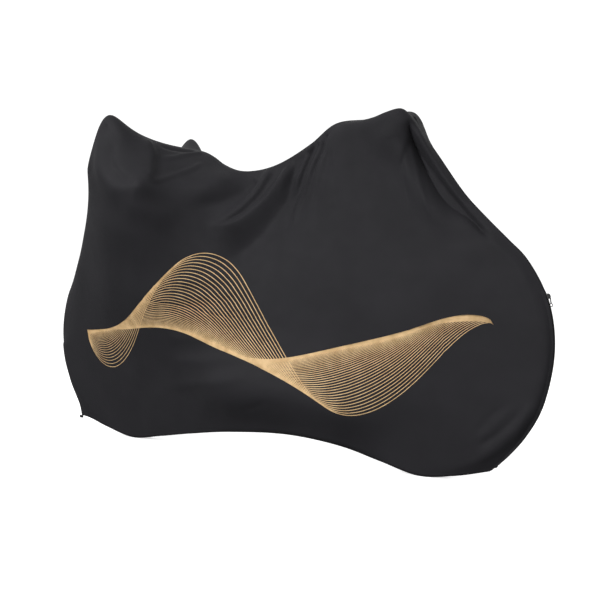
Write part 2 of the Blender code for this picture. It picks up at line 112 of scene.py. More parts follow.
# Materials: their mean colours, the two shades between which they vary, and their fine relief.
KNIT_BLACK = (0.018, 0.0174, 0.0201)
KNIT_SHADES = (0.0164, 0.0159, 0.0184), (0.0196, 0.019, 0.022)
KNIT_ROUGHNESS = 0.65
ROUGHNESS_SPREAD = 0.03
WALE_PITCH = 0.0011    # of the ribs of loops, and of the rows of loops across them
COURSE_PITCH = 0.0009
ZIP_BLACK = (0.01, 0.01, 0.011)
TAPE_SHADES = (0.009, 0.009, 0.01), (0.012, 0.012, 0.013)
TAPE_WEAVE = 0.0009
PLASTIC_ROUGHNESS = (0.28, 0.42)
THREAD_BLACK = (0.014, 0.014, 0.015)
THREAD_SHADES = (0.012, 0.012, 0.013), (0.017, 0.017, 0.018)
THREAD_TWIST = 0.0004
INK_GOLD = (0.66, 0.44, 0.22)
INK_SHADES = (0.54, 0.35, 0.165), (0.76, 0.53, 0.28)

# The print: many fine lines in one wave along each side. From the first to the last line the
# wave grows and is shifted, and the lines lie closer at the first.
PRINT_LINES = 36
PRINT_STEPS = 330
PRINT_SPAN = (0.075, 0.945)   # fractions along the panel
PRINT_HEIGHT = (0.3, 0.4)     # fractions up it, at the front end and the rear end
PRINT_WAVES = 1.25
PRINT_START = -0.02           # where in its wave the first line starts
PRINT_SHIFT = -0.2            # part of a wave between the first line and the last
PRINT_SWING = (0.05, 0.3)     # fraction up the panel that the first and last line swing each way
PRINT_CROWDING = 1.7          # 1 spaces the lines evenly
PRINT_TAPER = 0.5             # how its ends draw together: 1 is round, less is blunter
PRINT_WIDTH = 0.0022          # of a line; its ends are half as wide
PRINT_PROUD = 0.00022         # how far the ink stands over the cloth, and how far it goes in
PRINT_SUNK = 0.00012

# How bright the studio is by height, from straight down, 0, over the horizon, 0.5, to straight up.
SKY = [(0.0, 0.03), (0.49, 0.05), (0.52, 0.3), (0.62, 0.66), (0.8, 0.66), (1.0, 0.4)]
SKY_STRENGTH = 1.3
WHITE = (1.0, 1.0, 1.0, 1.0)
FLOOR_GREY = (0.9, 0.9, 0.9)
FLOOR_SHADES = (0.895, 0.895, 0.895), (0.905, 0.905, 0.905)
FLOOR_GLOW = 0.6
FLOOR_SIZE = 132.0
BACKDROP_RADIUS = 60.0
BACKDROP_GLOW = 1.1
LAMP_AIM = (0.0, 0.0, 0.5)
# Rows: name, direction it shines from, distance, size, power in watts.
LAMPS = [
    ("key_light", (-0.55, -2.0, 0.85), 4.2, (2.0, 1.5), 120.0),
    ("fill_light", (-0.9, 2.1, 0.25), 2.4, (1.6, 1.0), 22.0),
    ("rear_light", (1.1, -1.7, -0.25), 2.4, (1.0, 1.0), 10.0),
]
LENS = 51.0                           # in millimetres, on a sensor 36 mm wide
SENSOR = 36.0
CAMERA_PLACE = (1.398, -2.041, 0.516)
CAMERA_TURN = (88.47, 0.0, 32.06)     # in degrees

# ---- Outline of the cloth ----

# The centre seam in side view: x, z.
FRONT_SEAM = [
    (-0.752, 0.05), (-0.761, 0.083), (-0.811, 0.178), (-0.839, 0.328), (-0.815, 0.452),
    (-0.767, 0.532), (-0.711, 0.625), (-0.647, 0.72), (-0.57, 0.82), (-0.505, 0.885),
    (-0.46, 0.912),
]
TOP_SEAM = [
    (-0.46, 0.912), (-0.415, 0.925), (-0.355, 0.924), (-0.288, 0.91), (-0.22, 0.895),
    (-0.182, 0.876), (-0.148, 0.853), (-0.089, 0.83), (-0.015, 0.828), (0.052, 0.842),
    (0.153, 0.887), (0.236, 0.937), (0.347, 0.939), (0.435, 0.946), (0.473, 0.932),
]
REAR_SEAM = [
    (0.681, 0.032), (0.726, 0.075), (0.77, 0.129), (0.81, 0.204), (0.837, 0.342),
    (0.821, 0.462), (0.769, 0.561), (0.724, 0.608), (0.672, 0.66), (0.613, 0.723),
    (0.545, 0.818), (0.493, 0.894), (0.473, 0.932),
]
# The lower edge of a panel: x, distance out from the mid-plane, z.
HEM = [
    (-0.752, 0.0, 0.05), (-0.705, 0.008, 0.046), (-0.625, 0.014, 0.026),
    (-0.505, 0.016, 0.0014), (-0.384, 0.022, 0.018), (-0.243, 0.035, 0.042),
    (-0.091, 0.05, 0.064), (0.12, 0.055, 0.077), (0.282, 0.04, 0.058),
    (0.382, 0.022, 0.028), (0.495, 0.016, 0.0004), (0.595, 0.01, 0.012),
    (0.681, 0.0, 0.032),
]

# ---- Where the cloth bears on something ----

# Rows: fraction along the cloth, fraction up it, then x, out, z in metres.
FRONT_RAIL = [
    (0.118, 0.74, -0.518, 0.206, 0.848), (0.105, 0.69, -0.55, 0.176, 0.8),
    (0.092, 0.642, -0.583, 0.149, 0.752), (0.079, 0.594, -0.62, 0.12, 0.704),
    (0.066, 0.546, -0.657, 0.092, 0.656), (0.053, 0.5, -0.697, 0.066, 0.606),
    (0.04, 0.454, -0.733, 0.043, 0.556),
]
GRIP_RAIL = [
    (0.118, 0.74, -0.518, 0.206, 0.848), (0.13, 0.78, -0.491, 0.208, 0.905),
    (0.145, 0.825, -0.447, 0.21, 1.006), (0.162, 0.838, -0.421, 0.21, 1.027),
    (0.18, 0.842, -0.391, 0.21, 0.998), (0.2, 0.845, -0.363, 0.206, 0.943),
    (0.225, 0.855, -0.347, 0.18, 0.92),
]
BROW_RAIL = [
    (0.17, 0.875, -0.383, 0.16, 0.956), (0.17, 0.914, -0.357, 0.107, 0.932),
    (0.172, 0.955, -0.34, 0.055, 0.92),
]
DROP_RAIL = [
    (0.16, 0.78, -0.45, 0.226, 0.895), (0.172, 0.74, -0.443, 0.238, 0.838),
    (0.205, 0.712, -0.39, 0.244, 0.786), (0.245, 0.708, -0.33, 0.247, 0.778),
    (0.285, 0.72, -0.267, 0.25, 0.79),
]
SEAT_RAIL = [
    (0.735, 0.985, 0.227, 0.014, 0.924), (0.8, 0.97, 0.295, 0.03, 0.93),
    (0.88, 0.955, 0.365, 0.05, 0.93), (0.945, 0.935, 0.43, 0.08, 0.95),
    (0.975, 0.955, 0.463, 0.056, 0.945),
]
LEFT_SEAT_RAIL = SEAT_RAIL[:2] + [
    (0.88, 0.955, 0.365, 0.05, 0.934),
    (0.945, 0.935, 0.435, 0.071, 0.949), (0.975, 0.955, 0.467, 0.056, 0.96),
]
RIGHT_GRIP_SHIFT = (-0.022, -0.02)    # the right grip lies farther forward and lower: x, z
RIGHT_SEAT_SHIFT = (-0.006, 0.016)    # and the right side of the seat higher

# Softer ones only shape the coarse solution, so that the cloth swells gently over them.
SOFT_RAILS = {}
SOFT_RAILS[-1] = [
    [(0.4, 0.3, -0.165, 0.09, 0.275), (0.46, 0.3, -0.085, 0.104, 0.275),
     (0.57, 0.3, 0.105, 0.088, 0.27)],
    [(0.2, 0.36, -0.505, 0.056, 0.342)],
    [(0.8, 0.36, 0.495, 0.062, 0.342)],
]
SOFT_RAILS[1] = [
    [(0.55, 0.3, 0.075, 0.092, 0.27), (0.655, 0.3, 0.255, 0.108, 0.272)],
    [(0.2, 0.36, -0.505, 0.056, 0.342)],
    [(0.8, 0.36, 0.495, 0.07, 0.342)],
]

# ---- Creases ----

# Rows: how far it stands out (negative for a trough), its half width on the right hand and on the
# left hand of its line as walked on the outside, how it is rounded (2 is soft, 1 is sharp), the
# fractions of the line over which it fades in and out, then its line as points on the cloth
# (thousandths of the way along, thousandths of the way up). The ripples differ in the first and last.
RIPPLES = [
    (0.0027, [(310, 500), (342, 509), (406, 542), (480, 582)]),
    (0.0032, [(310, 450), (349, 463), (421, 497), (495, 540)]),
    (0.0027, [(310, 400), (355, 411), (419, 441), (510, 480)]),
    (0.0024, [(300, 330), (337, 338), (403, 362), (480, 390)]),
    (0.0028, [(310, 258), (360, 270), (436, 298), (530, 335)]),
    (0.0028, [(300, 170), (345, 183), (434, 219), (540, 268)]),
]
FOLDS = {}
FOLDS[-1] = [
    # fullness below the bar, and over the hem, which draws the cloth in
    (0.02, 0.14, 0.12, 2.0, 0.35, 0.4, [(70, 450), (230, 450), (400, 450)]),
    (0.013, 0.1, 0.065, 2.0, 0.35, 0.4, [(90, 600), (230, 600), (360, 600)]),
    (0.038, 0.08, 0.09, 2.0, 0.3, 0.25, [(330, 188), (560, 178), (820, 100)]),
    (0.007, 0.042, 0.03, 2.0, 0.35, 0.35, [(225, 672), (276, 666), (345, 690)]),
    # the deep groove behind the seat, its sharp right lip, and the roll at its left
    (-0.04, 0.036, 0.009, 1.5, 0.3, 0.4, [
        (971, 930), (963, 895), (960, 850), (961, 800), (965, 740), (974, 670)]),
    (-0.013, 0.011, 0.007, 1.6, 0.12, 0.18, [
        (974, 935), (965, 895), (962, 850), (963, 800), (967, 740), (976, 670), (980, 602)]),
    (0.008, 0.006, 0.01, 2.0, 0.14, 0.5, [(979, 930), (974, 879), (974, 830), (976, 752), (985, 674)]),
    (0.013, 0.03, 0.026, 2.0, 0.2, 0.45, [(927, 890), (918, 800), (924, 720), (940, 620)]),
    (0.0025, 0.006, 0.006, 2.0, 0.2, 0.4, [(948, 889), (935, 836), (922, 772), (914, 711), (907, 648)]),
    (-0.002, 0.007, 0.007, 2.0, 0.2, 0.4, [(917, 855), (894, 782), (874, 695)]),
    # fullness under the seat's corner
    (0.008, 0.05, 0.032, 2.0, 0.5, 0.12, [(840, 896), (885, 890), (918, 887), (958, 884)]),
    # swags between the bar and the seat
    (0.028, 0.052, 0.06, 1.6, 0.5, 0.45, [
        (284, 746), (296, 759), (310, 780), (329, 805), (354, 839), (383, 891), (409, 944), (435, 985)]),
    (-0.008, 0.022, 0.022, 2.0, 0.25, 0.1, [
        (340, 755), (367, 782), (397, 815), (425, 857), (450, 904), (472, 955)]),
    (0.011, 0.01, 0.017, 2.0, 0.25, 0.1, [
        (385, 706), (406, 733), (429, 770), (453, 813), (474, 861), (491, 907), (507, 956), (522, 988)]),
    (0.016, 0.038, 0.012, 1.6, 0.18, 0.15, [
        (391, 706), (411, 721), (439, 747), (468, 781), (493, 822), (519, 862), (547, 908), (572, 950),
        (590, 985)]),
    # the valley from the seat's nose, and the narrow folds that fan out beside it
    (-0.027, 0.085, 0.048, 1.5, 0.3, 0.4, [
        (400, 570), (438, 612), (464, 646), (490, 689), (513, 728), (531, 766), (552, 810), (573, 852),
        (589, 893), (607, 929), (633, 968), (648, 990)]),
    (-0.008, 0.022, 0.013, 1.6, 0.35, 0.35, [
        (552, 810), (573, 852), (589, 893), (607, 929), (633, 968), (648, 990)]),
    (0.008, 0.011, 0.011, 2.0, 0.06, 0.6, [
        (673, 996), (645, 974), (620, 935), (599, 890), (581, 849), (571, 802)]),
    (-0.012, 0.01, 0.01, 2.0, 0.05, 0.6, [
        (691, 984), (666, 958), (638, 919), (617, 876), (601, 835), (591, 794)]),
    (0.007, 0.01, 0.01, 2.0, 0.06, 0.6, [
        (704, 985), (682, 948), (652, 917), (633, 867), (620, 830), (610, 792)]),
    (-0.006, 0.009, 0.009, 2.0, 0.05, 0.7, [
        (723, 988), (707, 961), (695, 940), (669, 911), (654, 860), (644, 823)]),
    (0.004, 0.01, 0.01, 2.0, 0.06, 0.7, [(729, 977), (711, 941), (684, 910), (671, 872), (659, 825)]),
    (-0.006, 0.009, 0.009, 2.0, 0.06, 0.5, [(655, 982), (629, 963), (601, 944), (579, 903), (554, 854)]),
    # their long faint ends
    (-0.003, 0.011, 0.011, 2.0, 0.2, 0.6, [(603, 864), (592, 819), (586, 770), (580, 715)]),
    (0.002, 0.01, 0.01, 2.0, 0.2, 0.6, [(628, 868), (606, 818), (596, 767), (590, 710)]),
    (-0.0028, 0.011, 0.011, 2.0, 0.2, 0.6, [(657, 894), (636, 846), (618, 801), (612, 755), (606, 700)]),
    (0.0026, 0.012, 0.012, 2.0, 0.15, 0.6, [(706, 950), (689, 902), (657, 841), (642, 779), (638, 729)]),
    (-0.0024, 0.012, 0.012, 2.0, 0.15, 0.6, [(726, 948), (707, 892), (683, 845), (666, 798), (646, 715)]),
    (-0.0016, 0.014, 0.014, 2.0, 0.3, 0.5, [(731, 822), (714, 767), (694, 706)]),
    # rolls that follow the rear rim
    (0.0024, 0.014, 0.01, 2.0, 0.2, 0.24, [(957, 45), (968, 75), (981, 125), (988, 170), (993, 230)]),
    (-0.0018, 0.007, 0.007, 2.0, 0.25, 0.25, [(982, 202), (976, 155), (964, 111), (950, 80)]),
    (0.0014, 0.008, 0.008, 2.0, 0.25, 0.25, [(975, 208), (967, 171), (956, 126), (944, 98)]),
    (-0.0014, 0.009, 0.009, 2.0, 0.25, 0.25, [(963, 201), (949, 157), (940, 115)]),
    # the end of the grip: a round bulge with a crisp edge before and under it and a crest behind
    (-0.007, 0.03, 0.012, 1.6, 0.25, 0.15, [
        (184, 806), (191, 793), (201, 766), (218, 749), (248, 732), (279, 724)]),
    (0.014, 0.045, 0.013, 1.6, 0.25, 0.15, [(201, 903), (240, 865), (257, 824), (270, 789), (283, 746)]),
    # folds from it to the seam
    (0.004, 0.006, 0.009, 1.8, 0.12, 0.2, [(284, 748), (292, 795), (300, 851), (304, 899), (297, 952)]),
    (0.004, 0.01, 0.006, 2.0, 0.25, 0.1, [(257, 857), (259, 903), (255, 950), (254, 994)]),
    (-0.006, 0.008, 0.01, 2.0, 0.2, 0.1, [(221, 906), (231, 923), (239, 951), (240, 978)]),
    # the pinch at the tip of the grip
    (-0.005, 0.006, 0.006, 2.0, 0.1, 0.5, [(166, 815), (173, 810), (177, 804)]),
    # ripples behind the front wheel
    *[(stands, 0.016, 0.017, 2.0, 0.2, 0.3, line) for stands, line in RIPPLES],
    (-0.0016, 0.01, 0.01, 2.0, 0.25, 0.3, [(500, 105), (520, 118), (570, 155)]),
]
# The larger creases of the right side, which the photograph doesn't show.
FOLDS[1] = [
    (-0.022, 0.03, 0.01, 1.8, 0.2, 0.4, [(952, 900), (943, 850), (944, 780), (955, 700), (972, 610)]),
    (0.014, 0.03, 0.03, 2.0, 0.2, 0.24, [(915, 880), (902, 780), (908, 660)]),
    (0.018, 0.04, 0.045, 1.5, 0.3, 0.3, [(288, 740), (335, 775), (385, 845), (440, 930)]),
    (-0.011, 0.026, 0.026, 2.0, 0.2, 0.24, [(315, 705), (375, 740), (435, 810), (510, 915)]),
    (0.012, 0.028, 0.016, 1.7, 0.2, 0.2, [(375, 665), (435, 720), (480, 795), (550, 940)]),
    (-0.016, 0.06, 0.036, 1.5, 0.25, 0.4, [(440, 600), (515, 700), (580, 790), (645, 925)]),
]
# The right side also has the left side's first rows, and of the others those up to a height. These
# stray by up to so much along and up, but not past a limit, and are lower or higher by a share.
FULLNESS = 4
SMALL_FOLD = 0.0125
RIGHT_STRAY = (0.008, 0.012)
RIGHT_LIMIT = (0.995, 0.99)
RIGHT_SHARE = (0.6, 1.1)
RIGHT_SEED = 11
CREASE_REACH = 5.0     # a soft crease is worked out as far as this many times its half width
FOLD_MARGIN = 0.01     # distance from the seam and hem over which creases fade out
# How far the cloth is uneven, and over how many waves along and up it.
UNEVEN = [(0.0007, 14, 9), (0.0003, 34, 22)]
UNEVEN_SEED = 20


# ---- Curves and grids ----


def smooth_line(rows, count):
    """Points evenly spaced along a smooth curve through the rows, which may have any columns."""
    rows = np.array(rows, float)
    if len(rows) == 1:
        return np.repeat(rows, count + 1, axis=0)
    steps = np.linalg.norm(np.diff(rows, axis=0), axis=1) ** 0.5
    knots = np.concatenate([[0.0], np.cumsum(steps)])
    slopes = np.diff(rows, axis=0) / steps[:, None]
    tangents = np.empty_like(rows)
    tangents[0] = slopes[0]
    tangents[-1] = slopes[-1]
    weights = steps[1:, None] * slopes[:-1] + steps[:-1, None] * slopes[1:]
    tangents[1:-1] = weights / (steps[1:] + steps[:-1])[:, None]
    at = np.linspace(0.0, knots[-1], LINE_FINENESS * len(rows))
    k = np.clip(np.searchsorted(knots, at, side="right") - 1, 0, len(steps) - 1)
    s = ((at - knots[k]) / steps[k])[:, None]
    h = steps[k][:, None]
    dense = (2 * s**3 - 3 * s**2 + 1) * rows[k] + (3 * s**2 - 2 * s**3) * rows[k + 1]
    dense = dense + (s**3 - 2 * s**2 + s) * h * tangents[k] + (s**3 - s**2) * h * tangents[k + 1]
    run = np.linalg.norm(np.diff(dense, axis=0), axis=1)
    length = np.concatenate([[0.0], np.cumsum(run)])
    wanted = np.linspace(0.0, length[-1], count + 1)
    return np.stack([np.interp(wanted, length, column) for column in dense.T], axis=-1)


def seam_line(rows, count):
    """A stretch of the centre seam as points in the mid-plane."""
    flat = smooth_line(rows, count)
    return np.stack([flat[:, 0], np.zeros(count + 1), flat[:, 1]], axis=-1)


def edges(cells_along, cells_up):
    """The four edges of a panel: hem, top seam, front seam, rear seam."""
    return (
        smooth_line(HEM, cells_along),
        seam_line(TOP_SEAM, cells_along),
        seam_line(FRONT_SEAM, cells_up),
        seam_line(REAR_SEAM, cells_up),
    )


def put_edges(grid):
    """Set the grid's outer points on the panel's edges."""
    grid[:, 0], grid[:, -1], grid[0], grid[-1] = edges(grid.shape[0] - 1, grid.shape[1] - 1)
    return grid


def blended_grid(cells_along, cells_up):
    """A first guess that blends the four edges."""
    hem, top, front, rear = edges(cells_along, cells_up)
    a = np.linspace(0.0, 1.0, cells_along + 1)[:, None, None]
    b = np.linspace(0.0, 1.0, cells_up + 1)[None, :, None]
    across = (1 - b) * hem[:, None] + b * top[:, None]
    upward = (1 - a) * front[None] + a * rear[None]
    corners = (1 - a) * (1 - b) * hem[0] + a * (1 - b) * hem[-1]
    corners = corners + (1 - a) * b * top[0] + a * b * top[-1]
    return across + upward - corners


def with_ends(grid):
    """The grid with one more row at each end of its first axis, in line with the last two."""
    return np.concatenate([2 * grid[:1] - grid[1:2], grid, 2 * grid[-1:] - grid[-2:-1]])


def double_rows(grid):
    """Twice as many cells along the first axis, by a smooth curve through the rows."""
    around = with_ends(grid)
    middles = (9 * (around[1:-2] + around[2:-1]) - around[:-3] - around[3:]) / 16
    out = np.empty((2 * len(grid) - 1,) + grid.shape[1:])
    out[0::2] = grid
    out[1::2] = middles
    return out


def double_grid(grid):
    """The same sheet with twice as many cells each way."""
    wide = double_rows(grid)
    tall = double_rows(wide.transpose(1, 0, 2))
    return put_edges(tall.transpose(1, 0, 2).copy())


def spline_weights(count, at):
    """For places along an axis of so many cells: the four rows around each and their shares."""
    place = np.asarray(at) * count
    cell = np.clip(place.astype(int), 0, count - 1)
    s = place - cell
    shares = np.stack([
        (-s**3 + 2 * s**2 - s) / 2,
        (3 * s**3 - 5 * s**2 + 2) / 2,
        (-3 * s**3 + 4 * s**2 + s) / 2,
        (s**3 - s**2) / 2,
    ])
    return cell, shares


def sample(grid, along, up):
    """Points of the grid at fractions along and up it, on a smooth surface through its points."""
    around = with_ends(with_ends(grid).transpose(1, 0, 2)).transpose(1, 0, 2)
    i, across = spline_weights(grid.shape[0] - 1, along)
    j, upward = spline_weights(grid.shape[1] - 1, up)
    total = 0.0
    for m in range(4):
        for n in range(4):
            total = total + (across[m] * upward[n])[..., None] * around[i + m, j + n]
    return total


def stations(spans):
    """Fractions at which a panel has a row of points."""
    parts = [np.linspace(start, end, cells, endpoint=False) for start, end, cells in spans]
    return np.concatenate(parts + [[spans[-1][1]]])


def outward(grid):
    """Unit normals that point away from the mid-plane's side of the sheet."""
    along = np.gradient(grid, axis=0)
    up = np.gradient(grid, axis=1)
    normal = np.cross(up, along)
    return normal / np.maximum(np.linalg.norm(normal, axis=-1, keepdims=True), 1e-12)


# ---- The taut sheet ----


def held_points(rails, shape):
    """Which grid points a set of rails holds, and where."""
    held = {}
    for rail in rails:
        for along, up, x, out, z in smooth_line(rail, RAIL_STEPS):
            a = along * (shape[0] - 1)
            b = up * (shape[1] - 1)
            key = (round(a), round(b))
            miss = math.hypot(a - key[0], b - key[1])
            if key not in held or miss < held[key][0]:
                held[key] = (miss, (x, out, z))
    where = np.array(list(held))
    places = np.array([place for _, place in held.values()])
    return where[:, 0], where[:, 1], places


def keep_round(points):
    """Push points out of the round rim at each wheel."""
    for centre in (FRONT_AXLE_X, REAR_AXLE_X):
        dx = points[..., 0] - centre
        dz = points[..., 2] - AXLE_Z
        radius = np.maximum(np.hypot(dx, dz), 1e-9)
        core = np.minimum(radius, RIM_RADIUS - RIM_HALF)
        distance = np.maximum(np.hypot(radius - core, points[..., 1]), 1e-9)
        grow = np.maximum(RIM_HALF / distance, 1.0)
        stretched = (core + (radius - core) * grow) / radius
        points[..., 0] = centre + dx * stretched
        points[..., 2] = AXLE_Z + dz * stretched
        points[..., 1] = points[..., 1] * grow


def settle(grid, rounds, rails):
    """Let every inner point settle between its neighbours, some of them held by rails."""
    total = 2 * (PULL_ALONG + PULL_UP)
    if rails:
        columns, rows, places = held_points(rails, grid.shape)
    for _ in range(rounds):
        sideways = grid[:-2, 1:-1] + grid[2:, 1:-1]
        upright = grid[1:-1, :-2] + grid[1:-1, 2:]
        grid[1:-1, 1:-1] = (PULL_ALONG * sideways + PULL_UP * upright) / total
        if rails:
            grid[columns, rows] = places
        keep_round(grid[1:-1, 1:-1])
    return grid


def moved(rail, shift, share=1.0):
    """A rail moved by a share of a shift along X and Z."""
    dx, dz = shift
    return [(along, up, x + share * dx, out, z + share * dz) for along, up, x, out, z in rail]


def hard_rails(side):
    """The firm rails of one side."""
    if side < 0:
        return [FRONT_RAIL, GRIP_RAIL, BROW_RAIL, DROP_RAIL, LEFT_SEAT_RAIL]
    grip = moved(GRIP_RAIL, RIGHT_GRIP_SHIFT)
    brow = moved(BROW_RAIL, RIGHT_GRIP_SHIFT, 0.5)
    return [FRONT_RAIL, grip, brow, DROP_RAIL, moved(SEAT_RAIL, RIGHT_SEAT_SHIFT)]


def taut_sheet(side):
    """One side's cloth before its creases, y positive outwards."""
    firm = hard_rails(side)
    grid = blended_grid(FINE_ALONG // COARSEST, FINE_UP // COARSEST)
    grid = settle(grid, SETTLE[0], firm + SOFT_RAILS[side])
    for rounds in SETTLE[1:]:
        grid = settle(double_grid(grid), rounds, firm)
    return settle(grid, SOFTEN, None)


def eased(points, rounds, share=1.0):
    """The sheet with its steps smoothed away by a share at each point, its edges kept."""
    for _ in range(rounds):
        around = points[:-2, 1:-1] + points[2:, 1:-1] + points[1:-1, :-2] + points[1:-1, 2:]
        points[1:-1, 1:-1] += share * (around / 4 - points[1:-1, 1:-1]) / 2
    return points


def front_share(along, up):
    """1 on the part of the front that is rounded further, 0 away from it."""
    share = smooth_step((FRONT_ROUND[0] - along) / FRONT_ROUND[1])
    share = share * smooth_step((FRONT_ROUND[2] - up) / FRONT_ROUND[3])
    return (share * smooth_step((up - FRONT_ROUND[4]) / FRONT_ROUND[3]))[1:-1, 1:-1, None]


def smooth_step(value):
    """From 0 at 0 to 1 at 1 without a kink."""
    value = np.clip(value, 0.0, 1.0)
    return value * value * (3 - 2 * value)


def line_places(points, normals, line):
    """Each point's distance to a line of short stretches, if it is on its right, and how far along."""
    best = np.full(len(points), np.inf)
    along = np.zeros(len(points))
    on_right = np.zeros(len(points), bool)
    steps = len(line) - 1
    for k in range(steps):
        run = line[k + 1] - line[k]
        part = np.clip(((points - line[k]) @ run) / max(run @ run, 1e-12), 0.0, 1.0)
        offset = points - (line[k] + part[:, None] * run)
        distance = np.linalg.norm(offset, axis=-1)
        nearer = distance < best
        best[nearer] = distance[nearer]
        along[nearer] = (k + part[nearer]) / steps
        turned = np.einsum("ij,ij->i", np.cross(run, offset), normals)
        on_right[nearer] = turned[nearer] > 0
    return best, on_right, along


def crease_heights(points, base, folds):
    """How far each point of the sheet is raised or sunk by the creases."""
    height = np.zeros(points.shape[:2])
    normals = outward(points)
    for stands, right, left, rounding, fade_in, fade_out, line in folds:
        path = smooth_line(line, CREASE_STEPS)
        on_sheet = sample(base, path[:, 0], path[:, 1])
        reach = max(right, left) * CREASE_REACH ** (2.0 / rounding)
        low, high = on_sheet.min(axis=0) - reach, on_sheet.max(axis=0) + reach
        near = np.all((points > low) & (points < high), axis=-1)
        distance, on_right, along = line_places(points[near], normals[near], on_sheet)
        width = np.where(on_right, right, left)
        ends = smooth_step(along / fade_in) * smooth_step((1 - along) / fade_out)
        height[near] += stands * np.exp(-((distance / width) ** rounding)) * ends
    return height


def edge_distance(points):
    """Roughly how far each point is from the nearest edge of its panel, along the sheet."""
    steps_along = np.linalg.norm(np.diff(points, axis=0), axis=-1)
    steps_up = np.linalg.norm(np.diff(points, axis=1), axis=-1)
    from_front = np.concatenate([np.zeros((1, points.shape[1])), np.cumsum(steps_along, axis=0)])
    from_hem = np.concatenate([np.zeros((points.shape[0], 1)), np.cumsum(steps_up, axis=1)], axis=1)
    nearest = np.minimum(from_front, from_front[-1:] - from_front)
    return np.minimum(nearest, np.minimum(from_hem, from_hem[:, -1:] - from_hem))


def unevenness(along, up, seed):
    """Faint irregular waves that no real cloth is without, over long and short distances."""
    random = np.random.default_rng(seed)
    total = 0.0
    for height, cells_along, cells_up in UNEVEN:
        rough = random.normal(size=(cells_along + 1, cells_up + 1, 1))
        total = total + height * sample(rough, along, up)[..., 0]
    return total


def zip_opening(up):
    """How far the rear seam stands open at a fraction up it, to take the zip."""
    closed = SEWN_GAP / 2
    opened = CHAIN_HALF + TAPE_WIDTH + 2 * SEAM_GAP
    share = smooth_step((ZIP_TOP + ZIP_FLARE - up) / ZIP_FLARE)
    return closed + (opened - closed) * share


def seat_seam(grid, up):
    """Set the seam's edge back so that the panels, grown outwards, stay apart."""
    lean = np.maximum(outward(grid)[..., 1], -1.0)
    inward = np.maximum(-lean, 0.0) * CLOTH + SEWN_GAP / 2
    grid[:, :, 1] = np.maximum(grid[:, :, 1], SEWN_GAP / 2)
    for edge in (np.s_[0, :], np.s_[:, -1], np.s_[-1, :]):
        grid[edge][:, 1] = inward[edge]
    grid[-1, :, 1] = np.maximum(grid[-1, :, 1], zip_opening(up))
    return grid


def side_folds(side):
    """One side's creases. The right has its own larger ones, and small ones that stray from the left's."""
    left, right = ([(*shape, np.array(line) / 1000) for *shape, line in FOLDS[key]] for key in (-1, 1))
    if side < 0:
        return left
    random = np.random.default_rng(RIGHT_SEED)
    folds = left[:FULLNESS] + right
    for stands, *shape, line in left[FULLNESS:]:
        share = random.uniform(*RIGHT_SHARE)
        stray = random.uniform(-1.0, 1.0, 2) * RIGHT_STRAY
        if abs(stands) <= SMALL_FOLD:
            folds.append((stands * share, *shape, np.minimum(line + stray, RIGHT_LIMIT)))
    return folds


def panel_points(side):
    """The inner face of one panel, y positive outwards."""
    base = taut_sheet(side)
    along, up = stations(ALONG_SPANS), stations(UP_SPANS)
    across, upward = along[:, None] + 0 * up, up + 0 * along[:, None]
    points = eased(sample(base, across, upward), EASE)
    points = eased(points, EASE_FRONT, front_share(across, upward))
    height = crease_heights(points, base, side_folds(side))
    height += unevenness(across, upward, UNEVEN_SEED + side)
    height *= smooth_step(edge_distance(points) / FOLD_MARGIN)
    points = points + outward(points) * height[..., None]
    return seat_seam(points, up), along, up


# ---- Materials ----


def new_look(name, colour, roughness):
    """A material, with its node tree and its shader."""
    made = bpy.data.materials.new(name)
    made.use_nodes = True
    tree = made.node_tree
    shader = tree.nodes["Principled BSDF"]
    shader.inputs["Base Color"].default_value = (*colour, 1.0)
    shader.inputs["Roughness"].default_value = roughness
    made.diffuse_color = (*colour, 1.0)
    made.roughness = roughness
    return made, tree, shader


def fill_inputs(tree, node, inputs):
    """Set each named input of a node to a number or colour, or link a socket to it."""
    for name, value in inputs.items():
        if isinstance(value, bpy.types.NodeSocket):
            tree.links.new(value, node.inputs[name])
        else:
            node.inputs[name].default_value = value


def add_node(tree, kind, inputs):
    """A node with its inputs filled."""
    made = tree.nodes.new(kind)
    fill_inputs(tree, made, inputs)
    return made


def add_noise(tree, place, scale, detail):
    """A noise texture's value at a place."""
    inputs = {"Vector": place, "Scale": scale, "Detail": detail}
    return add_node(tree, "ShaderNodeTexNoise", inputs).outputs["Fac"]


def add_wave(tree, place, direction, pitch):
    """Even ribs at a pitch in metres, across a direction."""
    wave = add_node(tree, "ShaderNodeTexWave", {"Vector": place, "Scale": 2 * math.pi / (20 * pitch)})
    wave.bands_direction = direction
    return wave.outputs["Fac"]


def add_product(tree, first, second):
    """One value times another."""
    product = add_node(tree, "ShaderNodeMath", {0: first, 1: second})
    product.operation = "MULTIPLY"
    return product.outputs[0]


def add_range(tree, value, low, high, start=0.3, end=0.7):
    """A value brought from its own range between two others."""
    inputs = {"Value": value, "From Min": start, "From Max": end, "To Min": low, "To Max": high}
    return add_node(tree, "ShaderNodeMapRange", inputs).outputs["Result"]


def add_blend(tree, value, dark, light):
    """A colour between two, by a value."""
    blend = add_node(tree, "ShaderNodeValToRGB", {"Fac": value})
    for stop, position, colour in zip(blend.color_ramp.elements, (0.3, 0.7), (dark, light)):
        stop.position = position
        stop.color = (*colour, 1.0)
    return blend.outputs["Color"]


def add_bump(tree, shader, height, depth, strength):
    """Fine relief on the shader."""
    bump = add_node(tree, "ShaderNodeBump", {"Height": height, "Distance": depth, "Strength": strength})
    fill_inputs(tree, shader, {"Normal": bump.outputs["Normal"]})


